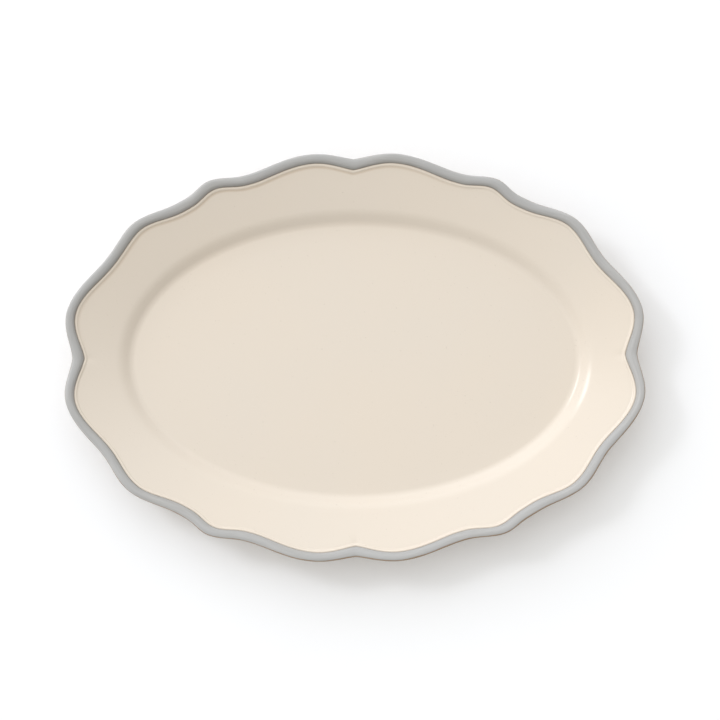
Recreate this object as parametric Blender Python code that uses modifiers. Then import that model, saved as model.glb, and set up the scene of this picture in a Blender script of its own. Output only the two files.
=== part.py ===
"""Oval china serving platter with a scalloped rim and a rolled, grey-glazed bead.

Metres, +Z up. The origin is under the middle of the platter, on the surface it stands on.
+X runs along its length. The platter is fired clay with glaze coats, and each piece is a loft
through loops that run once round the oval.
"""

import math

import bmesh
import bpy
import numpy as np

MM = 0.001

# Plan: the outline swings about a base ellipse, the well is a plain ellipse.
BASE_A = 202.7 * MM
BASE_B = 144.7 * MM
FLOOR_A = 158.3 * MM
FLOOR_B = 97.3 * MM

# One quarter of the rim, the same in all four: at each turn of the outline the angle from the
# long axis in degrees, then the bead's outer edge and its inner edge as shares of the base ellipse.
# Notches and bulges take turns, and a notch sits on each axis.
TURNS = (
    (0.0, 0.982, 0.940),
    (9.5, 1.025, 0.993),
    (21.0, 0.994, 0.956),
    (30.5, 1.018, 0.978),
    (42.0, 0.980, 0.934),
    (50.5, 1.006, 0.960),
    (60.5, 0.975, 0.928),
    (77.5, 1.009, 0.963),
    (90.0, 0.976, 0.922),
)
# How each flank between two turns is drawn, for the outer and the inner edge: 1 is a plain cosine,
# 0.5 leaves a cusp in the notch, and more than 1 gives a pointed bulge.
FLANKS = (
    (0.80, 0.75),
    (0.80, 1.05),
    (1.10, 0.95),
    (1.10, 1.35),
    (1.55, 1.30),
    (1.40, 1.80),
    (0.85, 0.80),
    (0.65, 0.65),
)
STEPS_PER_FLANK = 3

# Section through the dish.
WALL = 5.0 * MM
FLOOR_TOP = 8.5 * MM
FLAT_END = -2.2 * MM
WALL_TILT = 37.0
WALL_RUN = 2.6 * MM
FLANGE_TILT = 20.0
FLOOR_RADIUS = 8.6 * MM
VERGE_RADIUS = 21.0 * MM

# Section through the bead, measured from its inner edge.
COVE_WIDTH = 3.4 * MM
COVE_TILT = 34.0
BEAD_TILT = 66.0
BEAD_WIDTH = 6.0 * MM
# Four arcs that run into one another: the angle of the normal where each starts (90 is up, 0 is
# outward and -90 is down) and its radius. They are the inner flank, the shoulder, the outer edge and
# the underside.
BEAD_ARCS = (
    (90.0 + BEAD_TILT, 9.0 * MM),
    (142.0, 3.95 * MM),
    (84.0, 1.5 * MM),
    (-20.0, 13.26 * MM),
)
# Angles of the normal at the loops of the grey coat, of the cream coat under it and of the clay.
BAND_END = -15.0
BEAD_OVER = (142.0, 122.0, 102.0, 84.0, 52.0, 18.0, BAND_END)
BEAD_UNDER = (-21.5, -36.0, -51.0, -66.0)
BEAD_CLAY = (151.0, *BEAD_OVER, -36.0, -52.0)
TONGUE_TIP = 2.2 * MM
TONGUE_TOP = -0.3 * MM
TONGUE_BOTTOM = -1.4 * MM
LIP_END = -3.9 * MM
SOCKET_END = -3.6 * MM
LIP_FACE = 0.5 * MM
SOCKET_FACE = 0.9 * MM
# The cream coat ends this many degrees of slope before the top of the cove, to keep clear of the grey.
CREAM_STOP = 1.8

# Foot ring, from the edge of the floor.
FOOT_CENTRE = -10.0 * MM
FOOT_ROOT = 2.7 * MM
FOOT_WAIST = 2.1 * MM
FOOT_BOTTOM = 1.5 * MM
FOOT_CORNER = 0.3 * MM
GROOVE_DEPTH = 1.0 * MM
GLAZE_LINE = 1.0 * MM
# The coat turns down beside the ring in a bevel, which starts and ends this far from its root.
BEVEL_START = 1.7 * MM
BEVEL_END = 0.6 * MM
BEVEL_DROP = 0.6 * MM

# Coats and joints.
GLAZE = 0.4 * MM
GAP = 0.3 * MM
COAT = GLAZE + GAP

CREAM = (0.80, 0.70, 0.60)
GREY = (0.42, 0.45, 0.46)
CLAY = (0.62, 0.50, 0.38)
SHARP_ANGLE = 40.0


def flank(share, low, high, power):
    """Radius part of the way from a notch to a bulge."""
    return low + (high - low) * math.sin(0.5 * math.pi * share) ** (2.0 * power)


def quarter_edge(edge):
    """Polar angle and ratio at each station of a quarter; edge 1 is the outer one, 2 the inner."""
    points = []
    for index, powers in enumerate(FLANKS):
        start, end = TURNS[index], TURNS[index + 1]
        for step in range(STEPS_PER_FLANK):
            share = step / STEPS_PER_FLANK
            angle = start[0] + (end[0] - start[0]) * share
            if start[edge] < end[edge]:
                ratio = flank(share, start[edge], end[edge], powers[edge - 1])
            else:
                ratio = flank(1.0 - share, end[edge], start[edge], powers[edge - 1])
            points.append((math.radians(angle), ratio))
    points.append((math.radians(TURNS[-1][0]), TURNS[-1][edge]))
    return points


def full_edge(edge):
    """The same stations all the way round, mirrored in both axes."""
    quarter = quarter_edge(edge)
    half = quarter + [(math.pi - angle, ratio) for angle, ratio in reversed(quarter[:-1])]
    whole = half + [(2.0 * math.pi - angle, ratio) for angle, ratio in reversed(half[1:-1])]
    return np.array(whole)


OUTER = full_edge(1)
INNER = full_edge(2)
COS = np.cos(OUTER[:, 0])
SIN = np.sin(OUTER[:, 0])
BASE_REACH = 1.0 / np.hypot(COS / BASE_A, SIN / BASE_B)
OUTER_XY = np.column_stack((COS, SIN)) * (BASE_REACH * OUTER[:, 1])[:, None]
INNER_XY = np.column_stack((COS, SIN)) * (BASE_REACH * INNER[:, 1])[:, None]
ECCENTRIC = np.arctan2(SIN / BASE_B, COS / BASE_A)


def loop(xy, height):
    """One closed loop of points at a height, which may differ from point to point."""
    return np.column_stack((xy, np.broadcast_to(height, len(xy))))


def well_xy(along):
    """The floor's edge moved outward by a distance."""
    return np.column_stack(((FLOOR_A + along) * np.cos(ECCENTRIC), (FLOOR_B + along) * np.sin(ECCENTRIC)))


def well_loop(along, height, slope=0.0, depth=0.0):
    """A loop of the dish, moved under the glazed face by a depth across its slope."""
    tilt = math.radians(slope)
    return loop(well_xy(along + depth * math.sin(tilt)), height - depth * math.cos(tilt))


def s_curve():
    """Offset, height and slope: the floor turns up into a straight wall, then over into the flange."""
    steps = []
    for slope in (0.0, 0.5 * WALL_TILT, WALL_TILT):
        turn = math.radians(slope)
        along = FLAT_END + FLOOR_RADIUS * math.sin(turn)
        steps.append((along, FLOOR_TOP + FLOOR_RADIUS * (1.0 - math.cos(turn)), slope))
    start = math.radians(WALL_TILT)
    wall_along = steps[-1][0] + WALL_RUN
    wall_height = steps[-1][1] + WALL_RUN * math.tan(start)
    for slope in (WALL_TILT, 0.5 * (WALL_TILT + FLANGE_TILT), FLANGE_TILT):
        turn = math.radians(slope)
        along = wall_along + VERGE_RADIUS * (math.sin(start) - math.sin(turn))
        steps.append((along, wall_height + VERGE_RADIUS * (math.cos(turn) - math.cos(start)), slope))
    return steps


VERGE_ALONG, VERGE_HEIGHT, _ = s_curve()[-1]
FLANGE_RUN = INNER_XY - well_xy(VERGE_ALONG)
FLANGE_LENGTH = np.linalg.norm(FLANGE_RUN, axis=1)
FLANGE_WAY = FLANGE_RUN / FLANGE_LENGTH[:, None]
BAND_WAY = (OUTER_XY - INNER_XY) / BEAD_WIDTH
RIM_HEIGHT = VERGE_HEIGHT + FLANGE_LENGTH * math.tan(math.radians(FLANGE_TILT))


def rim_loop(along, rise, slope=0.0, depth=0.0):
    """A loop near the bead: along is from its inner edge, rise from the flange's face there."""
    tilt = math.radians(slope)
    reach = along + depth * math.sin(tilt)
    way = FLANGE_WAY if reach < 0.0 else BAND_WAY
    return loop(INNER_XY + way * reach, RIM_HEIGHT + rise - depth * math.cos(tilt))


def cove_place(slope):
    """Distance from the bead's inner edge and rise, in the slight hollow between flange and bead."""
    start = math.radians(FLANGE_TILT)
    turn = math.radians(slope)
    radius = COVE_WIDTH / (math.sin(math.radians(COVE_TILT)) - math.sin(start))
    along = radius * (math.sin(turn) - math.sin(start)) - COVE_WIDTH
    rise = radius * (math.cos(start) - math.cos(turn)) - COVE_WIDTH * math.tan(start)
    return along, rise


def cove(slope, depth):
    """A loop of the cove."""
    along, rise = cove_place(slope)
    return rim_loop(along, rise, slope, depth)


def bead_arc(angle):
    """Centre and radius of the arc of the bead's section whose normal points at this angle."""
    turn = math.radians(BEAD_ARCS[0][0])
    radius = BEAD_ARCS[0][1]
    _, rise = cove_place(COVE_TILT)
    along, rise = -radius * math.cos(turn), rise - radius * math.sin(turn)
    for start, next_radius in BEAD_ARCS[1:]:
        if angle > start:
            break
        turn = math.radians(start)
        along += (radius - next_radius) * math.cos(turn)
        rise += (radius - next_radius) * math.sin(turn)
        radius = next_radius
    return along, rise, radius


def bead_loop(angle, depth=0.0):
    """A loop on the bead, where its normal points at an angle, at a depth under the glazed face."""
    along, rise, radius = bead_arc(angle)
    turn = math.radians(angle)
    return rim_loop(along + (radius - depth) * math.cos(turn), rise + (radius - depth) * math.sin(turn))


def dish_loops(depth, slopes=None):
    """From the floor's flat to the cove, at a depth under the glazed face."""
    loops = [well_loop(*step, depth) for step in s_curve() if slopes is None or step[2] in slopes]
    loops.append(cove(FLANGE_TILT, depth))
    return loops


def back_loops(depth):
    """From the cove back to the floor's flat, for the underside, which needs fewer loops."""
    return dish_loops(depth, (0.0, WALL_TILT, FLANGE_TILT))[::-1]


def loft(name, loops, cap_first=False, cap_last=False, ring=False):
    """Mesh through loops that run outward over the top and inward underneath."""
    count = len(loops[0])
    mesh = bpy.data.meshes.new(name)
    work = bmesh.new()
    rows = [[work.verts.new(point) for point in points] for points in loops]
    pairs = list(zip(rows, rows[1:]))
    if ring:
        pairs.append((rows[-1], rows[0]))
    for near, far in pairs:
        for index in range(count):
            after = (index + 1) % count
            work.faces.new((near[index], far[index], far[after], near[after]))
    if cap_first:
        work.faces.new(rows[0])
    if cap_last:
        work.faces.new(rows[-1][::-1])
    work.to_mesh(mesh)
    work.free()
    return mesh


def add_piece(name, mesh, material, coat=False):
    """Object for a mesh; a coat is an open surface that Solidify thickens inward."""
    piece = bpy.data.objects.new(name, mesh)
    platter.objects.link(piece)
    piece.data.materials.append(material)
    mesh.shade_smooth()
    mesh.set_sharp_from_angle(angle=math.radians(SHARP_ANGLE))
    if coat:
        solidify = piece.modifiers.new("glaze", "SOLIDIFY")
        solidify.thickness = GLAZE
        solidify.offset = -1.0
        solidify.use_even_offset = True
    return piece


def make_material(name, colour, roughness):
    """Plain glaze or clay."""
    material = bpy.data.materials.new(name)
    material.use_nodes = True
    shader = material.node_tree.nodes["Principled BSDF"]
    shader.inputs["Base Color"].default_value = (*colour, 1.0)
    shader.inputs["Roughness"].default_value = roughness
    shader.inputs["Metallic"].default_value = 0.0
    return material


def clay_body(material):
    """Floor, wall and flange, with a tongue for the bead and a groove for the foot ring."""
    under = WALL - COAT
    floor_under = FLOOR_TOP - under
    groove_half = FOOT_ROOT + GAP
    groove_top = floor_under + GROOVE_DEPTH
    loops = dish_loops(COAT)
    loops += [cove(0.5 * (FLANGE_TILT + COVE_TILT), COAT), cove(COVE_TILT, COAT)]
    loops += [
        rim_loop(LIP_FACE, TONGUE_TOP),
        rim_loop(TONGUE_TIP, TONGUE_TOP),
        rim_loop(TONGUE_TIP, TONGUE_BOTTOM),
        rim_loop(LIP_FACE, TONGUE_BOTTOM),
        rim_loop(LIP_FACE, LIP_END),
    ]
    loops += back_loops(under)
    loops += [
        well_loop(FOOT_CENTRE + groove_half, floor_under),
        well_loop(FOOT_CENTRE + groove_half, groove_top),
        well_loop(FOOT_CENTRE - groove_half, groove_top),
        well_loop(FOOT_CENTRE - groove_half, floor_under),
    ]
    add_piece("clay_body", loft("clay_body", loops, cap_first=True, cap_last=True), material)


def rim_bead(material):
    """Rolled bead with a socket for the body's tongue along its inner side."""
    loops = [bead_loop(angle, COAT) for angle in BEAD_CLAY]
    loops += [
        rim_loop(SOCKET_FACE, SOCKET_END),
        rim_loop(SOCKET_FACE, TONGUE_BOTTOM - GAP),
        rim_loop(TONGUE_TIP + GAP, TONGUE_BOTTOM - GAP),
        rim_loop(TONGUE_TIP + GAP, TONGUE_TOP + GAP),
        rim_loop(SOCKET_FACE, TONGUE_TOP + GAP),
    ]
    add_piece("rim_bead", loft("rim_bead", loops, ring=True), material)


def foot_ring(material):
    """The ring that the platter stands on; its top sits in the body's groove."""
    top = FLOOR_TOP - WALL + COAT + GROOVE_DEPTH - GAP
    side = (
        (FOOT_ROOT, top),
        (FOOT_WAIST, GLAZE_LINE),
        (FOOT_BOTTOM + FOOT_CORNER, FOOT_CORNER),
        (FOOT_BOTTOM, 0.0),
    )
    loops = [well_loop(FOOT_CENTRE + half, height) for half, height in side]
    loops += [well_loop(FOOT_CENTRE - half, height) for half, height in reversed(side)]
    add_piece("foot_ring", loft("foot_ring", loops, ring=True), material)


def face_glaze(material):
    """Cream coat over floor, wall and flange, up to the bead."""
    edge_slope = COVE_TILT - CREAM_STOP
    loops = dish_loops(0.0)
    loops += [cove(0.5 * (FLANGE_TILT + edge_slope), 0.0), cove(edge_slope, 0.0)]
    add_piece("face_glaze", loft("face_glaze", loops, cap_first=True), material, coat=True)


def rim_glaze(material):
    """Grey coat over the bead, from its inner edge to just past its outer side."""
    loops = [bead_loop(angle) for angle in (BEAD_ARCS[0][0], *BEAD_OVER)]
    add_piece("rim_glaze", loft("rim_glaze", loops), material, coat=True)


def foot_glaze_side(way):
    """The coat's edge on one side of the foot ring: way 1 is the outer side, -1 the inner."""
    skin = FLOOR_TOP - WALL
    side = (
        (FOOT_ROOT + BEVEL_START, skin),
        (FOOT_ROOT + BEVEL_END, skin - BEVEL_DROP),
        (FOOT_WAIST + COAT, GLAZE_LINE),
    )
    return [well_loop(FOOT_CENTRE + way * half, height) for half, height in side]


def back_glaze(material):
    """Cream coat from the bead's outer side, underneath, to the outer side of the foot ring."""
    loops = [bead_loop(angle) for angle in BEAD_UNDER]
    loops += back_loops(WALL)
    loops += foot_glaze_side(1)
    add_piece("back_glaze", loft("back_glaze", loops), material, coat=True)


def recess_glaze(material):
    """Cream coat under the floor and down the inner side of the foot ring."""
    loops = foot_glaze_side(-1)[::-1]
    add_piece("recess_glaze", loft("recess_glaze", loops, cap_last=True), material, coat=True)


for old in list(bpy.data.objects):
    bpy.data.objects.remove(old, do_unlink=True)
platter = bpy.data.collections.new("serving_platter")
bpy.context.scene.collection.children.link(platter)

clay = make_material("bare_clay", CLAY, 0.85)
cream = make_material("cream_glaze", CREAM, 0.22)
grey = make_material("grey_glaze", GREY, 0.30)

clay_body(clay)
rim_bead(clay)
foot_ring(clay)
face_glaze(cream)
rim_glaze(grey)
back_glaze(cream)
recess_glaze(cream)
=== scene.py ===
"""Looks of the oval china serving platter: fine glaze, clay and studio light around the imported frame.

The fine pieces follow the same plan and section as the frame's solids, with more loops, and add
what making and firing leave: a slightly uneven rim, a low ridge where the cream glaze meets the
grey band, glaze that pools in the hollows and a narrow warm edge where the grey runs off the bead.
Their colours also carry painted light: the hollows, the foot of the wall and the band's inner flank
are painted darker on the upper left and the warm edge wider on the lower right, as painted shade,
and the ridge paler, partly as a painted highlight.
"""

import math
from collections import namedtuple

import bpy
import numpy as np
from mathutils import Matrix, Vector


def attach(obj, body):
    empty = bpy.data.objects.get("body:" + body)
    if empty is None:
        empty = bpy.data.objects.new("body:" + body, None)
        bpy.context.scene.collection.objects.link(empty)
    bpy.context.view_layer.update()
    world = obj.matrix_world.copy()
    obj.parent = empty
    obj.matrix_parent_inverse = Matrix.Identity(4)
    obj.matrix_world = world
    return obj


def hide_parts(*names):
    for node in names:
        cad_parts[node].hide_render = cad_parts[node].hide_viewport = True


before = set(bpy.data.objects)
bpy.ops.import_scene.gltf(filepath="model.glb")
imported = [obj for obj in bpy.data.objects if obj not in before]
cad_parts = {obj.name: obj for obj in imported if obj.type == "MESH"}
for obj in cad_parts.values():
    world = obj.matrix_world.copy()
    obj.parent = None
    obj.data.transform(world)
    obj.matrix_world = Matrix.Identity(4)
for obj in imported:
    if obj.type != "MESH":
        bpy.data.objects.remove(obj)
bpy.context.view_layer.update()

MM = 0.001

# Plan, as in the frame: the outline swings about a base ellipse, the well is a plain ellipse.
BASE_A = 202.7 * MM
BASE_B = 144.7 * MM
FLOOR_A = 158.3 * MM
FLOOR_B = 97.3 * MM

# One quarter of the rim: at each turn of the outline the angle from the long axis in degrees, then
# the bead's outer edge and its inner edge as shares of the base ellipse.
TURNS = (
    (0.0, 0.982, 0.940),
    (9.5, 1.025, 0.993),
    (21.0, 0.994, 0.956),
    (30.5, 1.018, 0.978),
    (42.0, 0.980, 0.934),
    (50.5, 1.006, 0.960),
    (60.5, 0.975, 0.928),
    (77.5, 1.009, 0.963),
    (90.0, 0.976, 0.922),
)
# How each flank between two turns is drawn, for the outer and the inner edge: 1 is a plain cosine,
# 0.5 leaves a cusp in the notch, and more than 1 gives a pointed bulge.
FLANKS = (
    (0.80, 0.75),
    (0.80, 1.05),
    (1.10, 0.95),
    (1.10, 1.35),
    (1.55, 1.30),
    (1.40, 1.80),
    (0.85, 0.80),
    (0.65, 0.65),
)

# Section through the dish, as in the frame.
WALL = 5.0 * MM
FLOOR_TOP = 8.5 * MM
FLAT_END = -2.2 * MM
WALL_TILT = 37.0
WALL_RUN = 2.6 * MM
FLANGE_TILT = 20.0
FLOOR_RADIUS = 8.6 * MM
VERGE_RADIUS = 21.0 * MM

# Section through the bead, measured from its inner edge, as in the frame.
COVE_WIDTH = 3.4 * MM
COVE_TILT = 34.0
BEAD_TILT = 66.0
BEAD_WIDTH = 6.0 * MM
# Four arcs that run into one another: the angle of the normal where each starts (90 is up, 0 is
# outward and -90 is down) and its radius. They are the inner flank, the shoulder, the outer edge and
# the underside.
BEAD_ARCS = (
    (90.0 + BEAD_TILT, 9.0 * MM),
    (142.0, 3.95 * MM),
    (84.0, 1.5 * MM),
    (-20.0, 13.26 * MM),
)
BAND_END = -15.0
BEAD_LAST = -66.0
TONGUE_TIP = 2.2 * MM
TONGUE_TOP = -0.3 * MM
TONGUE_BOTTOM = -1.4 * MM
LIP_END = -3.9 * MM
SOCKET_END = -3.6 * MM
LIP_FACE = 0.5 * MM

# Foot ring, from the edge of the floor, as in the frame.
FOOT_CENTRE = -10.0 * MM
FOOT_ROOT = 2.7 * MM
FOOT_WAIST = 2.1 * MM
FOOT_BOTTOM = 1.5 * MM
FOOT_CORNER = 0.3 * MM
GROOVE_DEPTH = 1.0 * MM
GLAZE_LINE = 1.0 * MM

# Coats lie on the clay here, with only a hair's gap between neighbours.
GLAZE = 0.4 * MM
HAIR = 0.02 * MM
CLAY_DEPTH = GLAZE + HAIR

# Degrees by which each coat's section stops short of its neighbour's, and the arc of the bead's section
# that its own clay covers.
CREAM_SHORT = 0.1
GREY_SHORT = 0.2
BACK_SHORT = 0.4
BEAD_CLAY = (153.0, -56.0)

# The coat beside the foot ring: a fillet from the floor's underside, then the coat's side, whose edge
# wanders. Each pair is a share of the way down the side and how far the coat swells there. Inside the
# ring the rows of the flat underside start at a distance from the foot's root.
FILLET_REACH = 1.7 * MM
FILLET_RUN = 1.3 * MM
FILLET_DROP = 0.9 * MM
SIDE_SWELL = ((0.45, 0.0), (0.8, 0.06 * MM), (0.95, 0.0), (1.0, -0.22 * MM))
GLAZE_LINE_WANDER = 0.3 * MM
RECESS_EDGE = 2.2 * MM

# How finely the pieces are drawn. Stations and rows lie closer together where the shape turns most.
STEPS_PER_FLANK = 15
STATION_EASE = 0.6
FLOOR_RINGS = 9
UNDER_RINGS = 8
FLOOR_STEPS = 12
WALL_STEPS = 3
VERGE_STEPS = 12
FLANGE_STEPS = 14
FLANGE_EASE = 1.4
COVE_STEPS = 22
CLAY_COVE_STEPS = 6
BEAD_STEPS = 36
EDGE_EASE = 0.12
UNDER_STEPS = 14
FILLET_STEPS = 7
CORNER_STEPS = 6
SHARP_ANGLE = 50.0

# A few turns of the outline are a little fuller or flatter than their mirror images: the angle and the
# reach to either side, in degrees, and the share of the radius.
UNEVEN = (
    (34.0, 5.0, 0.006),
    (47.0, 5.0, -0.006),
    (153.0, 4.5, -0.006),
    (316.5, 6.5, 0.011),
)

# What else hand and kiln leave. The rim sags, the bead is thinner in places, the coats dip at their
# edges and the notches on the axes are pinched.
RIM_SAG = 0.35 * MM
BEAD_THINNING = 0.17 * MM
SEAM_HALF = 0.28 * MM
SEAM_DEPTH = 0.22 * MM
PINCH_DEPTH = 0.45 * MM
PINCH_WIDTH = 2.6 * MM
PINCH_LENGTH = 6.0 * MM

# Beside the band the cream glaze has a raised ridge, coloured paler for thin glaze and as a painted
# highlight, and a valley, where it pools. A little pools at the foot of the wall and along the foot
# ring too. Pooled glaze is coloured darker only on the upper left, as painted shade. The ridge and the
# valley are placed from the band's edge, the foot of the wall from the floor's.
RIDGE_AT = -0.85 * MM
RIDGE_HALF = 0.75 * MM
RIDGE_HEIGHT = 0.38 * MM
VALLEY_AT = -2.4 * MM
VALLEY_HALF = 0.9 * MM
VALLEY_DEPTH = 0.10 * MM
WALL_FOOT_HALF = 0.3 * FLOOR_RADIUS
WALL_FOOT_AT = FLAT_END + WALL_FOOT_HALF
WALL_FOOT_POOL_SHADE = 0.2
FILLET_POOL_SHADE = 0.6
SIDE_POOL_SHADE = 0.3

# The grey glaze, measured across the band: darker along the inner edge, painted shade that is
# strongest on the upper left and gone on the lower right, with a thin tan line there; and thin and tan
# along the outer edge, painted wider on the lower right as painted shade of the outer flank.
INNER_SHADE_START = 3.0 * MM
INNER_SHADE_FULL = 0.4 * MM
INNER_LINE_START = 0.9 * MM
INNER_LINE_FULL = 0.1 * MM
TAN_START = 1.25 * MM
TAN_FULL = 0.65 * MM
EDGE_WANDER = 0.55 * MM
# The side toward which the tan outer edge is painted wider as shade, and how sharply that fades.
SHADE_SIDE_ANGLE = 296.0
SHADE_SIDE_SHARPNESS = 1.5
SHADE_SIDE_REACH = 1.1 * MM
GRAIN_ACROSS = 14.0

# Colours.
CREAM = (0.703, 0.632, 0.550)
CREAM_WARM = (0.714, 0.634, 0.543)
CREAM_SHADE = (0.580, 0.480, 0.380)
CREAM_PALE = (0.780, 0.700, 0.605)
GREY = (0.384, 0.379, 0.371)
GREY_LIGHT = (0.449, 0.443, 0.435)
GREY_COOL = (0.399, 0.402, 0.406)
GREY_SHADE = (0.170, 0.170, 0.162)
CLAY_EDGE = (0.275, 0.190, 0.120)
CLAY_LIGHT = (0.600, 0.485, 0.370)
CLAY_SHADE = (0.520, 0.400, 0.290)
CLAY_DARK = (0.160, 0.100, 0.060)
TABLE_SHADE = (0.894, 0.900, 0.920)
TABLE_LIGHT = (0.914, 0.920, 0.940)

# Camera, almost straight above the platter and a little to its front.
CAMERA_AZIMUTH = -90.0
CAMERA_ELEVATION = 82.6
CAMERA_DISTANCE = 1.64
CAMERA_ROLL = -0.40
CAMERA_AIM = (0.0036, 0.0004, 0.0)
LENS = 114.7
SENSOR = 36.0
CLIP_START = 0.05
CLIP_END = 60.0

# Light: a small softbox at the upper left for the glints, in a pale room. The room glows broadly and
# coolly at the upper left, is warmer elsewhere and dim at the lower right, and is white low down.
KEY_AZIMUTH = 150.0
KEY_ELEVATION = 40.0
KEY_DISTANCE = 4.0
KEY_SIZE = (0.95, 0.72)
KEY_POWER = 26.0
ROOM_BASE = 0.965
GLOW = 1.75
GLOW_AZIMUTH = 121.0
GLOW_ELEVATION = 18.0
GLOW_SHARPNESS = 4.5
DIM = 0.52
DIM_AZIMUTH = -50.0
DIM_ELEVATION = 20.0
DIM_SHARPNESS = 2.0
ROOM_WARM = (1.010, 1.000, 0.965)
GLOW_COOL = (0.965, 1.000, 1.060)
KEY_COOL = (0.97, 1.00, 1.05)
HORIZON = 1.0
HORIZON_LOW = 0.10
HORIZON_HIGH = 0.25

TABLE_REACH = 12.0

# A loop of points, how much glaze pools there, whose darker colour is painted shade, and how far
# across the band it lies; -1 is off the band.
Row = namedtuple("Row", "points pool across", defaults=(0.0, -1.0))


# ---------------------------------------------------------------- plan and section


def flank(share, low, high, power):
    """Radius part of the way from a notch to a bulge."""
    return low + (high - low) * math.sin(0.5 * math.pi * share) ** (2.0 * power)


def eased(step):
    """Stations lie closer together at notches and bulges than along the flanks."""
    share = step / STEPS_PER_FLANK
    return (1.0 - STATION_EASE) * share + 0.5 * STATION_EASE * (1.0 - math.cos(math.pi * share))


def quarter_edge(edge):
    """Polar angle and ratio at each station of a quarter; edge 1 is the outer one, 2 the inner."""
    points = []
    for index, powers in enumerate(FLANKS):
        start, end = TURNS[index], TURNS[index + 1]
        for step in range(STEPS_PER_FLANK):
            share = eased(step)
            angle = start[0] + (end[0] - start[0]) * share
            if start[edge] < end[edge]:
                ratio = flank(share, start[edge], end[edge], powers[edge - 1])
            else:
                ratio = flank(1.0 - share, end[edge], start[edge], powers[edge - 1])
            points.append((math.radians(angle), ratio))
    points.append((math.radians(TURNS[-1][0]), TURNS[-1][edge]))
    return points


def full_edge(edge):
    """The same stations all the way round, mirrored in both axes."""
    quarter = quarter_edge(edge)
    half = quarter + [(math.pi - angle, ratio) for angle, ratio in reversed(quarter[:-1])]
    whole = half + [(2.0 * math.pi - angle, ratio) for angle, ratio in reversed(half[1:-1])]
    return np.array(whole)


def uneven(angle):
    """Share by which the outline is fuller than its mirror image at each angle."""
    total = np.zeros(len(angle))
    for place, reach, share in UNEVEN:
        beside = (np.degrees(angle) - place + 180.0) % 360.0 - 180.0
        total += share * np.exp(-((beside / reach) ** 2))
    return total


OUTER = full_edge(1)
INNER = full_edge(2)
ANGLE = OUTER[:, 0]
OUTER[:, 1] *= 1.0 + uneven(ANGLE)
INNER[:, 1] *= 1.0 + uneven(ANGLE)
COS = np.cos(ANGLE)
SIN = np.sin(ANGLE)
BASE_REACH = 1.0 / np.hypot(COS / BASE_A, SIN / BASE_B)
OUTER_XY = np.column_stack((COS, SIN)) * (BASE_REACH * OUTER[:, 1])[:, None]
INNER_XY = np.column_stack((COS, SIN)) * (BASE_REACH * INNER[:, 1])[:, None]
ECCENTRIC = np.arctan2(SIN / BASE_B, COS / BASE_A)


def waves(angle, terms):
    """Slow waves round the oval; each term is a count of waves, a phase and a share."""
    return sum(share * np.sin(count * angle + phase) for count, phase, share in terms)


THIN = 0.5 + 0.5 * waves(ANGLE, ((5, 0.4, 0.4), (11, 2.0, 0.35), (23, 4.1, 0.25)))
SAG = 0.5 + 0.5 * waves(ANGLE, ((2, 1.1, 0.5), (3, 3.9, 0.3), (7, 0.3, 0.2)))
# Painted shade by side: 1 on the lower right, where the bead's outer flank is in shade, falling to 0 on
# the upper left, where the cove, the wall and the bead's inner flank are in shade.
SHADE_SIDE = (0.5 + 0.5 * np.cos(ANGLE - math.radians(SHADE_SIDE_ANGLE))) ** SHADE_SIDE_SHARPNESS
WANDER = waves(ANGLE, ((7, 0.0, 0.4), (19, 1.3, 0.35), (43, 2.9, 0.25)))


def axis_notch():
    """1 at the notches on the two axes, falling to 0 a few millimetres either side."""
    beside = np.minimum(np.abs(SIN), np.abs(COS)) * BASE_REACH
    return np.exp(-((beside / PINCH_WIDTH) ** 2))


NOTCH = axis_notch()


def loop(xy, height):
    """One closed loop of points at a height, which may differ from point to point."""
    return np.column_stack((xy, np.broadcast_to(height, len(xy))))


def well_xy(along):
    """The floor's edge moved outward by a distance."""
    return np.column_stack(((FLOOR_A + along) * np.cos(ECCENTRIC), (FLOOR_B + along) * np.sin(ECCENTRIC)))


def well_loop(along, height, slope=0.0, depth=0.0):
    """A loop of the dish, moved under the glazed face by a depth across its slope."""
    tilt = math.radians(slope)
    return loop(well_xy(along + depth * math.sin(tilt)), height - depth * math.cos(tilt))


def s_curve():
    """Offset, height and slope: the floor turns up into a straight wall, then over into the flange."""
    steps = []
    for step in range(FLOOR_STEPS + 1):
        slope = WALL_TILT * step / FLOOR_STEPS
        turn = math.radians(slope)
        along = FLAT_END + FLOOR_RADIUS * math.sin(turn)
        steps.append((along, FLOOR_TOP + FLOOR_RADIUS * (1.0 - math.cos(turn)), slope))
    foot_along, foot_height, _ = steps[-1]
    start = math.radians(WALL_TILT)
    for step in range(1, WALL_STEPS + 1):
        run = WALL_RUN * step / WALL_STEPS
        steps.append((foot_along + run, foot_height + run * math.tan(start), WALL_TILT))
    wall_along, wall_height, _ = steps[-1]
    for step in range(1, VERGE_STEPS + 1):
        slope = WALL_TILT + (FLANGE_TILT - WALL_TILT) * step / VERGE_STEPS
        turn = math.radians(slope)
        along = wall_along + VERGE_RADIUS * (math.sin(start) - math.sin(turn))
        steps.append((along, wall_height + VERGE_RADIUS * (math.cos(turn) - math.cos(start)), slope))
    return steps


VERGE_ALONG, VERGE_HEIGHT, _ = s_curve()[-1]
FLANGE_RUN = INNER_XY - well_xy(VERGE_ALONG)
FLANGE_LENGTH = np.linalg.norm(FLANGE_RUN, axis=1)
FLANGE_WAY = FLANGE_RUN / FLANGE_LENGTH[:, None]
BAND_WAY = (OUTER_XY - INNER_XY) / BEAD_WIDTH
RIM_HEIGHT = VERGE_HEIGHT + FLANGE_LENGTH * math.tan(math.radians(FLANGE_TILT))


def rim_loop(along, rise, slope=0.0, depth=0.0):
    """A loop near the bead: along is from its inner edge, rise from the flange's face there."""
    tilt = math.radians(slope)
    reach = along + depth * math.sin(tilt)
    way = FLANGE_WAY if reach < 0.0 else BAND_WAY
    return loop(INNER_XY + way * reach, RIM_HEIGHT + rise - depth * math.cos(tilt))


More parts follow.
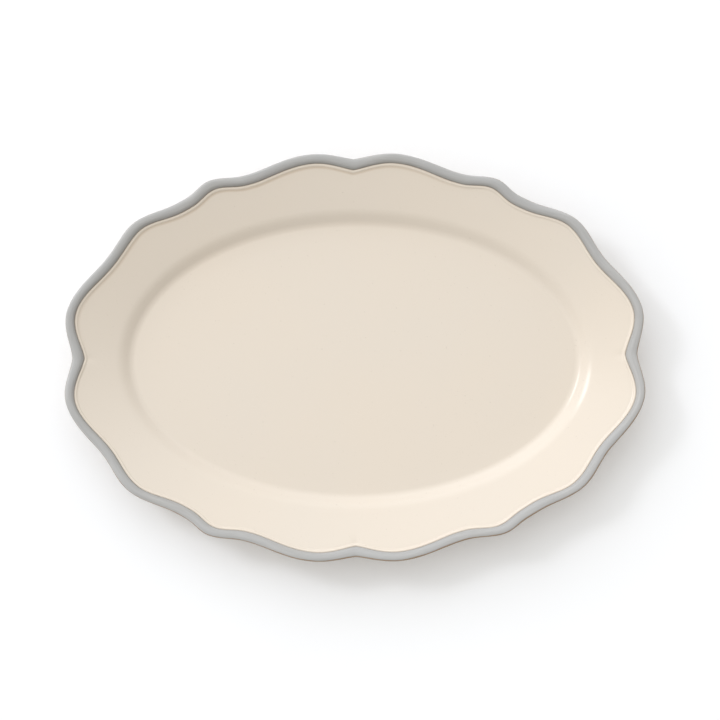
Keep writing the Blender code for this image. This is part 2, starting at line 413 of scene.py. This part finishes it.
def cove_place(slope):
    """Distance from the bead's inner edge and rise, in the slight hollow between flange and bead."""
    start = math.radians(FLANGE_TILT)
    turn = math.radians(slope)
    radius = COVE_WIDTH / (math.sin(math.radians(COVE_TILT)) - math.sin(start))
    along = radius * (math.sin(turn) - math.sin(start)) - COVE_WIDTH
    rise = radius * (math.cos(start) - math.cos(turn)) - COVE_WIDTH * math.tan(start)
    return along, rise


def bump(along, centre, half):
    """A smooth bump of height 1."""
    return math.exp(-(((along - centre) / half) ** 2))


def relief(along):
    """How far the cream glaze stands above the plain section near the band, and how far it dips."""
    ridge = RIDGE_HEIGHT * bump(along, RIDGE_AT, RIDGE_HALF)
    valley = VALLEY_DEPTH * bump(along, VALLEY_AT, VALLEY_HALF)
    seam = SEAM_DEPTH * bump(along, 0.0, SEAM_HALF)
    return ridge - valley - seam


def pool(along):
    """1 in the valley, where glaze pools and is painted as shade; -1 on the ridge, thinly glazed and
    painted paler as a highlight.
    """
    return bump(along, VALLEY_AT, VALLEY_HALF) - bump(along, RIDGE_AT, RIDGE_HALF)


def cove(slope, depth):
    """A loop of the cove, with the glaze's relief where it is on the glazed face."""
    along, rise = cove_place(slope)
    lift = relief(along) if depth == 0.0 else 0.0
    return rim_loop(along, rise, slope, depth - lift)


def bead_arc(angle):
    """Centre and radius of the arc of the bead's section whose normal points at this angle."""
    turn = math.radians(BEAD_ARCS[0][0])
    radius = BEAD_ARCS[0][1]
    _, rise = cove_place(COVE_TILT)
    along, rise = -radius * math.cos(turn), rise - radius * math.sin(turn)
    for start, next_radius in BEAD_ARCS[1:]:
        if angle > start:
            break
        turn = math.radians(start)
        along += (radius - next_radius) * math.cos(turn)
        rise += (radius - next_radius) * math.sin(turn)
        radius = next_radius
    return along, rise, radius


def bead_length(first, last):
    """Length of the bead's section between two angles of its normal, the first the larger."""
    ends = [start for start, _ in BEAD_ARCS[1:]] + [-180.0]
    total = 0.0
    for (start, radius), end in zip(BEAD_ARCS, ends):
        total += radius * math.radians(max(0.0, min(first, start) - max(last, end)))
    return total


def bead_loop(angle, depth=0.0, sink=0.0):
    """A loop on the bead, where its normal points at an angle: 90 is up, 0 outward."""
    along, rise, radius = bead_arc(angle)
    turn = math.radians(angle)
    clear = math.sin(math.radians(min(90.0, max(0.0, BEAD_ARCS[0][0] - angle))))
    radius = radius - depth - sink - BEAD_THINNING * THIN * clear
    reach = along + radius * math.cos(turn)
    way = np.where((reach < 0.0)[:, None], FLANGE_WAY, BAND_WAY)
    return loop(INNER_XY + way * reach[:, None], RIM_HEIGHT + rise + radius * math.sin(turn))


def settled(points):
    """The rim sags a little in the kiln, more the higher it stands; the notches on the axes pinch."""
    share = np.clip((points[:, 2] - FLOOR_TOP) / (RIM_HEIGHT - FLOOR_TOP), 0.0, 1.0)
    moved = points.copy()
    moved[:, 2] -= RIM_SAG * SAG * share**2
    inside = np.linalg.norm(INNER_XY, axis=1) - np.linalg.norm(points[:, :2], axis=1)
    near = np.exp(-((np.maximum(inside, 0.0) / PINCH_LENGTH) ** 2))
    beyond = np.exp(-((np.minimum(inside, 0.0) / COVE_WIDTH) ** 2))
    moved[:, 2] -= PINCH_DEPTH * NOTCH * near * beyond * share
    return moved


# ---------------------------------------------------------------- rows of loops


def floor_rows(height):
    """Growing rings that fill the flat floor, from the middle outward."""
    edge = well_xy(FLAT_END)
    return [Row(loop(edge * (ring / FLOOR_RINGS), height)) for ring in range(1, FLOOR_RINGS)]


def under_rings(edge, height, first):
    """Shrinking rings that fill the floor's underside, from an edge or just inside it to the middle."""
    return [Row(loop(edge * (ring / UNDER_RINGS), height)) for ring in range(first, 0, -1)]


def dish_rows(depth):
    """From the floor's flat, up the wall and over the flange, to the cove."""
    rows = []
    for along, height, slope in s_curve():
        # Painted shade at the foot of the wall, through the cream glaze's darker pooled colour.
        wall_foot_shade = WALL_FOOT_POOL_SHADE * bump(along, WALL_FOOT_AT, WALL_FOOT_HALF)
        rows.append(Row(well_loop(along, height, slope, depth), wall_foot_shade))
    start = rows[-1].points
    end = cove(FLANGE_TILT, depth)
    for step in range(1, FLANGE_STEPS):
        share = 1.0 - (1.0 - step / FLANGE_STEPS) ** FLANGE_EASE
        rows.append(Row(start + (end - start) * share))
    return rows


def cove_rows(depth, last, steps=COVE_STEPS):
    """From the flange up to the band."""
    rows = []
    for step in range(steps + 1):
        slope = FLANGE_TILT + (last - FLANGE_TILT) * step / steps
        along, _ = cove_place(slope)
        rows.append(Row(cove(slope, depth), pool(along)))
    return rows


def bead_rows(first, last, depth, steps=BEAD_STEPS):
    """Round the bead from one angle of its section to another."""
    rows = []
    for step in range(steps + 1):
        share = step / steps
        share -= EDGE_EASE * math.sin(2.0 * math.pi * share)
        angle = first + (last - first) * share
        length = bead_length(first, angle)
        edge = min(length, bead_length(angle, last))
        sink = SEAM_DEPTH * bump(edge, 0.0, SEAM_HALF) if depth == 0.0 else 0.0
        rows.append(Row(bead_loop(angle, depth, sink), across=length))
    return rows


def back_rows(depth):
    """From the rim back to the floor's flat, for the underside."""
    rows = dish_rows(depth) + [Row(rim_loop(*cove_place(FLANGE_TILT), FLANGE_TILT, depth))]
    return rows[::-1]


# ---------------------------------------------------------------- mesh


def fan(faces, row, centre, count, turned):
    """Triangles from a loop to one point in its middle."""
    for index in range(count):
        near, far = row * count + index, row * count + (index + 1) % count
        faces.append((far, near, centre) if turned else (near, far, centre))


def loft(name, rows, ring=False):
    """Closed mesh through rows that run outward over the top and inward underneath.

    A ring closes on itself; any other loft starts and ends in the middle, where a fan fills it.
    """
    count = len(rows[0].points)
    points = np.concatenate([settled(row.points) for row in rows])
    pairs = list(zip(range(len(rows)), range(1, len(rows))))
    if ring:
        pairs.append((len(rows) - 1, 0))
    index = np.arange(count)
    after = (index + 1) % count
    faces = []
    for near, far in pairs:
        low, high = near * count, far * count
        faces += np.column_stack((low + index, high + index, high + after, low + after)).tolist()
    values = {
        "pool": np.repeat([row.pool for row in rows], count),
        "across": np.repeat([row.across for row in rows], count),
    }
    around = np.tile(rim_grain(), (len(rows), 1))
    if not ring:
        for row, turned in ((0, False), (len(rows) - 1, True)):
            middle = points[row * count : (row + 1) * count].mean(axis=0)
            fan(faces, row, len(points), count, turned)
            points = np.vstack((points, middle))
            values = {key: np.append(value, value[row * count]) for key, value in values.items()}
            around = np.vstack((around, around[0]))
    mesh = bpy.data.meshes.new(name)
    mesh.from_pydata(points.tolist(), [], faces)
    for key, value in values.items():
        mesh.attributes.new(key, "FLOAT", "POINT").data.foreach_set("value", value.astype(np.float32))
    around[:, 2] = values["across"] * GRAIN_ACROSS
    grain = mesh.attributes.new("rim_grain", "FLOAT_VECTOR", "POINT")
    grain.data.foreach_set("vector", around.astype(np.float32).ravel())
    # The side weight that places painted shade.
    shade_side = mesh.attributes.new("shade_side", "FLOAT", "POINT")
    shade_side.data.foreach_set("value", np.resize(SHADE_SIDE, len(points)).astype(np.float32))
    mesh.validate()
    mesh.shade_smooth()
    mesh.set_sharp_from_angle(angle=math.radians(SHARP_ANGLE))
    return mesh


def rim_grain():
    """A circle as long as the rim: a seamless coordinate for streaks that run along the bead."""
    steps = np.linalg.norm(np.roll(OUTER_XY, -1, axis=0) - OUTER_XY, axis=1)
    way = np.concatenate(([0.0], np.cumsum(steps)[:-1]))
    turn = 2.0 * math.pi * way / steps.sum()
    radius = steps.sum() / (2.0 * math.pi)
    return np.column_stack((radius * np.cos(turn), radius * np.sin(turn), np.zeros(len(way))))


def add_piece(name, mesh, material):
    """A fine piece that stands for the frame's node of the same name."""
    piece = bpy.data.objects.new(name + "_fine", mesh)
    bpy.context.scene.collection.objects.link(piece)
    mesh.materials.append(material)
    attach(piece, "root")
    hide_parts(name)


# ---------------------------------------------------------------- pieces


def face_glaze(material):
    """Cream coat over floor, wall and flange, up to the band."""
    last = COVE_TILT - CREAM_SHORT
    top = floor_rows(FLOOR_TOP) + dish_rows(0.0) + cove_rows(0.0, last)
    hidden = floor_rows(FLOOR_TOP - GLAZE) + dish_rows(GLAZE) + cove_rows(GLAZE, last)
    add_piece("face_glaze", loft("face_glaze", top + hidden[::-1]), material)


def rim_glaze(material):
    """Grey coat over the bead, from its inner edge to just past its outer side."""
    first = BEAD_ARCS[0][0] - GREY_SHORT
    top = bead_rows(first, BAND_END, 0.0)
    hidden = bead_rows(first, BAND_END, GLAZE)
    add_piece("rim_glaze", loft("rim_glaze", top + hidden[::-1], ring=True), material)


def foot_side_rows(way, inset):
    """The coat beside the foot ring; way 1 is its outer side, -1 its inner side.

    inset is 0 on the glazed face and the coat's thickness on the clay's side.
    """
    skin = FLOOR_TOP - WALL
    fillet_end = FOOT_ROOT + FILLET_REACH - FILLET_RUN
    side_top = skin - FILLET_DROP
    line = GLAZE_LINE + GLAZE_LINE_WANDER * WANDER
    rows = []
    for step in range(FILLET_STEPS + 1):
        turn = 0.5 * math.pi * step / FILLET_STEPS
        half = FOOT_ROOT + FILLET_REACH - (FILLET_RUN + inset) * math.sin(turn)
        height = skin - FILLET_DROP * (1.0 - math.cos(turn)) + inset * math.cos(turn)
        rows.append(Row(well_loop(FOOT_CENTRE + way * half, height), FILLET_POOL_SHADE))
    for share, swell in SIDE_SWELL:
        half = fillet_end + (FOOT_WAIST + GLAZE - fillet_end) * share - inset
        if inset == 0.0:
            half += swell
        level = side_top + (line - side_top) * share
        rows.append(Row(loop(well_xy(FOOT_CENTRE + way * half), level), SIDE_POOL_SHADE))
    return rows


def back_side(depth, first, inset):
    """One side of the coat underneath: from the bead, over the flange and wall, to the foot ring."""
    bead = bead_rows(first, BEAD_LAST, inset, UNDER_STEPS)
    return bead + back_rows(depth) + foot_side_rows(1, inset)


def back_glaze(material):
    """Cream coat from the bead's outer side, underneath, to the outer side of the foot ring."""
    first = BAND_END - BACK_SHORT
    seen = back_side(WALL, first, 0.0)
    hidden = back_side(WALL - GLAZE, first, GLAZE)
    add_piece("back_glaze", loft("back_glaze", seen + hidden[::-1], ring=True), material)


def recess_side(inset):
    """One side of the coat inside the foot ring, from its edge to the middle."""
    edge = well_xy(FOOT_CENTRE - FOOT_ROOT - RECESS_EDGE)
    return foot_side_rows(-1, inset)[::-1] + under_rings(edge, FLOOR_TOP - WALL + inset, UNDER_RINGS)


def recess_glaze(material):
    """Cream coat under the floor and down the inner side of the foot ring; its seen side is below."""
    rows = recess_side(GLAZE)[::-1] + recess_side(0.0)
    add_piece("recess_glaze", loft("recess_glaze", rows), material)


def clay_body(material):
    """Floor, wall and flange, with a tongue for the bead and a groove for the foot ring."""
    under = WALL - CLAY_DEPTH
    floor_under = FLOOR_TOP - under
    groove_half = FOOT_ROOT + HAIR
    groove_top = floor_under + GROOVE_DEPTH
    tongue = (
        (LIP_FACE, TONGUE_TOP),
        (TONGUE_TIP, TONGUE_TOP),
        (TONGUE_TIP, TONGUE_BOTTOM),
        (LIP_FACE, TONGUE_BOTTOM),
        (LIP_FACE, LIP_END),
    )
    rows = floor_rows(FLOOR_TOP - CLAY_DEPTH) + dish_rows(CLAY_DEPTH)
    rows += cove_rows(CLAY_DEPTH, COVE_TILT, CLAY_COVE_STEPS)
    rows += [Row(rim_loop(*place)) for place in tongue]
    rows += back_rows(under)
    groove = (
        (groove_half, floor_under),
        (groove_half, groove_top),
        (-groove_half, groove_top),
        (-groove_half, floor_under),
    )
    rows += [Row(well_loop(FOOT_CENTRE + half, height)) for half, height in groove]
    rows += under_rings(well_xy(FOOT_CENTRE - groove_half), floor_under, UNDER_RINGS - 1)
    add_piece("clay_body", loft("clay_body", rows), material)


def rim_bead(material):
    """Rolled bead with a socket for the body's tongue along its inner side."""
    face = LIP_FACE + HAIR
    rows = bead_rows(*BEAD_CLAY, CLAY_DEPTH)
    socket = (
        (face, SOCKET_END),
        (face, TONGUE_BOTTOM - HAIR),
        (TONGUE_TIP + HAIR, TONGUE_BOTTOM - HAIR),
        (TONGUE_TIP + HAIR, TONGUE_TOP + HAIR),
        (face, TONGUE_TOP + HAIR),
    )
    rows += [Row(rim_loop(*place)) for place in socket]
    add_piece("rim_bead", loft("rim_bead", rows, ring=True), material)


def foot_ring(material):
    """The ring that the platter stands on, its bottom ground flat and its edges softened."""
    top = FLOOR_TOP - WALL + CLAY_DEPTH + GROOVE_DEPTH - HAIR
    side = [(FOOT_ROOT, top), (FOOT_ROOT, FLOOR_TOP - WALL), (FOOT_WAIST, GLAZE_LINE)]
    for step in range(CORNER_STEPS + 1):
        turn = 0.5 * math.pi * step / CORNER_STEPS
        half = FOOT_BOTTOM + FOOT_CORNER * math.cos(turn)
        side.append((half, FOOT_CORNER * (1.0 - math.sin(turn))))
    rows = [Row(well_loop(FOOT_CENTRE + half, height)) for half, height in side]
    rows += [Row(well_loop(FOOT_CENTRE - half, height)) for half, height in reversed(side)]
    add_piece("foot_ring", loft("foot_ring", rows, ring=True), material)


# ---------------------------------------------------------------- materials


class Nodes:
    """The nodes of a new material or world, with one short call for each kind of node used here."""

    def __init__(self, owner, shader="Principled BSDF"):
        owner.use_nodes = True
        self.owner = owner
        self.tree = owner.node_tree
        self.shader = self.tree.nodes[shader]

    def add(self, kind, **settings):
        node = self.tree.nodes.new(kind)
        for key, value in settings.items():
            setattr(node, key, value)
        return node

    def join(self, source, target):
        self.tree.links.new(source, target)

    def place(self):
        """Position on the object."""
        return self.add("ShaderNodeTexCoord").outputs["Object"]

    def value(self, attribute):
        """A number that the mesh holds at each point."""
        return self.add("ShaderNodeAttribute", attribute_name=attribute).outputs["Fac"]

    def vector(self, attribute):
        """A vector that the mesh holds at each point."""
        return self.add("ShaderNodeAttribute", attribute_name=attribute).outputs["Vector"]

    def noise(self, where, scale, detail=2.0, roughness=0.5):
        node = self.add("ShaderNodeTexNoise")
        node.inputs["Scale"].default_value = scale
        node.inputs["Detail"].default_value = detail
        node.inputs["Roughness"].default_value = roughness
        self.join(where, node.inputs["Vector"])
        return node.outputs["Fac"]

    def remap(self, source, low, high, out_low=0.0, out_high=1.0):
        """A number that runs from out_low to out_high while the source runs from low to high."""
        node = self.add("ShaderNodeMapRange", clamp=True)
        ends = {"From Min": low, "From Max": high, "To Min": out_low, "To Max": out_high}
        for key, number in ends.items():
            node.inputs[key].default_value = number
        self.join(source, node.inputs["Value"])
        return node.outputs["Result"]

    def mix(self, factor, first, second):
        """Mix two colours; each is a colour or an output."""
        node = self.add("ShaderNodeMix", data_type="RGBA")
        self.join(factor, node.inputs["Factor"])
        for name, colour in (("A", first), ("B", second)):
            socket = next(s for s in node.inputs if s.name == name and s.type == "RGBA")
            if isinstance(colour, tuple):
                socket.default_value = (*colour, 1.0)
            else:
                self.join(colour, socket)
        return next(s for s in node.outputs if s.type == "RGBA")

    def maths(self, operation, first, second):
        """One sum; each operand is a number or an output."""
        node = self.add("ShaderNodeMath", operation=operation)
        for socket, operand in zip(node.inputs, (first, second)):
            if isinstance(operand, (int, float)):
                socket.default_value = operand
            else:
                self.join(operand, socket)
        return node.outputs["Value"]

    def bump(self, heights):
        """Chain of bumps; each is a height and how many metres a height of 1 stands for."""
        normal = None
        for height, distance in heights:
            node = self.add("ShaderNodeBump")
            node.inputs["Distance"].default_value = distance
            self.join(height, node.inputs["Height"])
            if normal is not None:
                self.join(normal, node.inputs["Normal"])
            normal = node.outputs["Normal"]
        self.join(normal, self.shader.inputs["Normal"])


def cream_material():
    """Warm cream glaze: a smooth satin gloss, darker where it pools, as painted shade on the upper left,
    and paler on the thinly glazed ridge, partly as a painted highlight.
    """
    nodes = Nodes(bpy.data.materials.new("cream_glaze_fine"))
    place = nodes.place()
    cloud = nodes.remap(nodes.noise(place, scale=9.0, detail=3.0), low=0.3, high=0.7)
    cream = nodes.mix(cloud, CREAM, CREAM_WARM)
    # Painted shade: where glaze pools the cream darkens, but only on the upper-left side, where those
    # faces are in shade.
    pool_shade_mask = nodes.remap(nodes.value("pool"), low=0.0, high=1.0, out_high=0.85)
    upper_left_shade = nodes.remap(nodes.value("shade_side"), low=0.0, high=0.15, out_low=1.0, out_high=0.0)
    cream = nodes.mix(nodes.maths("MULTIPLY", pool_shade_mask, upper_left_shade), cream, CREAM_SHADE)
    # Partly painted highlight: the ridge is paler, for thin glaze and as a highlight along it.
    thin_ridge_highlight = nodes.remap(nodes.value("pool"), low=0.0, high=-1.0, out_high=0.7)
    cream = nodes.mix(thin_ridge_highlight, cream, CREAM_PALE)
    fleck = nodes.remap(nodes.noise(place, scale=620.0, detail=1.0), low=0.72, high=0.80, out_high=0.10)
    cream = nodes.mix(fleck, cream, CLAY_DARK)
    nodes.join(cream, nodes.shader.inputs["Base Color"])
    mottle = nodes.noise(place, scale=40.0, detail=3.0)
    satin = nodes.remap(mottle, low=0.25, high=0.75, out_low=0.20, out_high=0.25)
    nodes.join(satin, nodes.shader.inputs["Roughness"])
    swell = nodes.noise(place, scale=55.0, detail=1.0)
    peel = nodes.noise(place, scale=420.0)
    nodes.bump(((swell, 0.06 * MM), (peel, 0.008 * MM)))
    nodes.shader.inputs["IOR"].default_value = 1.5
    return nodes.owner


def grey_material():
    """Grey glaze with soft streaks along the bead; painted shade on its inner flank, tan where it runs
    thinly, and on the lower right a wider tan edge as painted shade.
    """
    nodes = Nodes(bpy.data.materials.new("grey_glaze_fine"))
    place = nodes.place()
    grain = nodes.vector("rim_grain")
    streak = nodes.remap(nodes.noise(grain, scale=55.0, detail=4.0, roughness=0.6), low=0.30, high=0.70)
    grey = nodes.mix(streak, GREY, GREY_LIGHT)
    cloud = nodes.remap(nodes.noise(place, scale=28.0, detail=3.0), low=0.35, high=0.65, out_high=0.5)
    grey = nodes.mix(cloud, grey, GREY_COOL)
    uneven_edge = nodes.noise(place, scale=90.0, detail=3.0)
    wander = nodes.remap(uneven_edge, low=0.0, high=1.0, out_low=-EDGE_WANDER, out_high=EDGE_WANDER)
    reach = nodes.maths("ADD", nodes.value("across"), wander)
    band = bead_length(BEAD_ARCS[0][0], BAND_END)
    # Partly painted shade: a thin tan edge runs all round, and on the lower right, where the outer flank
    # is in shade, it reaches further across the band.
    shade_side = nodes.maths("ADD", reach, nodes.maths("MULTIPLY", nodes.value("shade_side"), SHADE_SIDE_REACH))
    edge = nodes.remap(shade_side, low=band - TAN_START, high=band - TAN_FULL, out_high=0.95)
    grey = nodes.mix(edge, grey, CLAY_EDGE)
    # Painted shade: the inner flank darkens toward the upper left, and not at all on the lower right.
    pool_shade_mask = nodes.remap(reach, low=INNER_SHADE_START, high=INNER_SHADE_FULL, out_high=0.55)
    upper_left_shade = nodes.remap(nodes.value("shade_side"), low=0.0, high=0.7, out_low=1.0, out_high=0.0)
    grey = nodes.mix(nodes.maths("MULTIPLY", pool_shade_mask, upper_left_shade), grey, GREY_SHADE)
    inner = nodes.remap(reach, low=INNER_LINE_START, high=INNER_LINE_FULL, out_high=0.55)
    grey = nodes.mix(inner, grey, CLAY_EDGE)
    nodes.join(grey, nodes.shader.inputs["Base Color"])
    mottle = nodes.noise(grain, scale=80.0, detail=3.0)
    satin = nodes.remap(mottle, low=0.25, high=0.75, out_low=0.36, out_high=0.50)
    nodes.join(satin, nodes.shader.inputs["Roughness"])
    ripple = nodes.noise(grain, scale=120.0, detail=3.0)
    nodes.bump(((ripple, 0.08 * MM),))
    nodes.shader.inputs["IOR"].default_value = 1.4
    return nodes.owner


def clay_material(name, roughness):
    """Bare fired clay: fine sandy grain, dark specks and a little staining."""
    nodes = Nodes(bpy.data.materials.new(name))
    place = nodes.place()
    stain = nodes.remap(nodes.noise(place, scale=30.0, detail=4.0), low=0.35, high=0.70)
    clay = nodes.mix(stain, CLAY_LIGHT, CLAY_SHADE)
    speck = nodes.remap(nodes.noise(place, scale=1500.0, detail=1.0), low=0.66, high=0.74, out_high=0.7)
    clay = nodes.mix(speck, clay, CLAY_DARK)
    nodes.join(clay, nodes.shader.inputs["Base Color"])
    mottle = nodes.noise(place, scale=300.0)
    dull = nodes.remap(mottle, low=0.3, high=0.7, out_low=roughness - 0.06, out_high=roughness + 0.06)
    nodes.join(dull, nodes.shader.inputs["Roughness"])
    sand = nodes.noise(place, scale=2600.0, detail=3.0, roughness=0.7)
    nodes.bump(((sand, 0.12 * MM),))
    return nodes.owner


# ---------------------------------------------------------------- set


def direction(azimuth, elevation):
    """Unit vector to a place round the platter: azimuth 0 is +X, 90 is +Y."""
    turn, rise = math.radians(azimuth), math.radians(elevation)
    return Vector((math.cos(turn) * math.cos(rise), math.sin(turn) * math.cos(rise), math.sin(rise)))


def add_camera():
    """Camera at the photograph's angle."""
    data = bpy.data.cameras.new("camera")
    data.lens = LENS
    data.sensor_width = SENSOR
    data.clip_start = CLIP_START
    data.clip_end = CLIP_END
    camera = bpy.data.objects.new("camera", data)
    back = direction(CAMERA_AZIMUTH, CAMERA_ELEVATION)
    turn = back.to_track_quat("Z", "Y").to_matrix().to_4x4()
    roll = Matrix.Rotation(math.radians(CAMERA_ROLL), 4, "Z")
    camera.matrix_world = Matrix.Translation(Vector(CAMERA_AIM) + back * CAMERA_DISTANCE) @ turn @ roll
    bpy.context.scene.collection.objects.link(camera)
    bpy.context.scene.camera = camera


def add_key():
    """The softbox."""
    data = bpy.data.lights.new("key", "AREA")
    data.shape = "RECTANGLE"
    data.size, data.size_y = KEY_SIZE
    data.energy = KEY_POWER
    data.color = KEY_COOL
    key = bpy.data.objects.new("key", data)
    way = direction(KEY_AZIMUTH, KEY_ELEVATION)
    key.location = way * KEY_DISTANCE
    key.rotation_mode = "QUATERNION"
    key.rotation_quaternion = way.to_track_quat("Z", "Y")
    bpy.context.scene.collection.objects.link(key)


def lobe(nodes, place, way, sharpness):
    """1 in one direction, falling off smoothly to 0 all round it."""
    facing = nodes.add("ShaderNodeVectorMath", operation="DOT_PRODUCT")
    facing.inputs[1].default_value = way
    nodes.join(place, facing.inputs[0])
    toward = nodes.maths("MAXIMUM", facing.outputs["Value"], 0.0)
    return nodes.maths("POWER", toward, sharpness)


def add_room():
    """Pale surroundings: a cool glow, a dim side and, low down all round, white."""
    nodes = Nodes(bpy.data.worlds.new("room"), "Background")
    place = nodes.add("ShaderNodeTexCoord").outputs["Generated"]
    glow = lobe(nodes, place, direction(GLOW_AZIMUTH, GLOW_ELEVATION), GLOW_SHARPNESS)
    dim = lobe(nodes, place, direction(DIM_AZIMUTH, DIM_ELEVATION), DIM_SHARPNESS)
    lit = nodes.maths("ADD", nodes.maths("MULTIPLY", glow, GLOW), ROOM_BASE)
    level = nodes.maths("ADD", lit, nodes.maths("MULTIPLY", dim, -DIM))
    nodes.join(nodes.mix(glow, ROOM_WARM, GLOW_COOL), nodes.shader.inputs["Color"])
    split = nodes.add("ShaderNodeSeparateXYZ")
    nodes.join(place, split.inputs[0])
    high_up = nodes.remap(split.outputs["Z"], low=HORIZON_LOW, high=HORIZON_HIGH)
    blend = nodes.add("ShaderNodeMix")
    blend.inputs["A"].default_value = HORIZON
    nodes.join(high_up, blend.inputs["Factor"])
    nodes.join(level, blend.inputs["B"])
    nodes.join(blend.outputs["Result"], nodes.shader.inputs["Strength"])
    bpy.context.scene.world = nodes.owner


def add_table():
    """White table, wide enough to reach the horizon in low views."""
    mesh = bpy.data.meshes.new("table")
    corners = [(x * TABLE_REACH, y * TABLE_REACH, -HAIR) for x, y in ((-1, -1), (1, -1), (1, 1), (-1, 1))]
    mesh.from_pydata(corners, [], [(0, 1, 2, 3)])
    nodes = Nodes(bpy.data.materials.new("white_table"))
    tone = nodes.remap(nodes.noise(nodes.place(), scale=3.0), low=0.3, high=0.7)
    nodes.join(nodes.mix(tone, TABLE_SHADE, TABLE_LIGHT), nodes.shader.inputs["Base Color"])
    nodes.shader.inputs["Roughness"].default_value = 0.9
    nodes.shader.inputs["Specular IOR Level"].default_value = 0.1
    mesh.materials.append(nodes.owner)
    table = bpy.data.objects.new("table", mesh)
    bpy.context.scene.collection.objects.link(table)


bpy.context.scene.view_settings.view_transform = "Standard"
add_camera()
add_key()
add_room()
add_table()

cream = cream_material()
grey = grey_material()
body_clay = clay_material("body_clay_fine", roughness=0.85)
foot_clay = clay_material("foot_clay_fine", roughness=0.78)

clay_body(body_clay)
rim_bead(body_clay)
foot_ring(foot_clay)
face_glaze(cream)
rim_glaze(grey)
back_glaze(cream)
recess_glaze(cream)

bpy.context.view_layer.update()
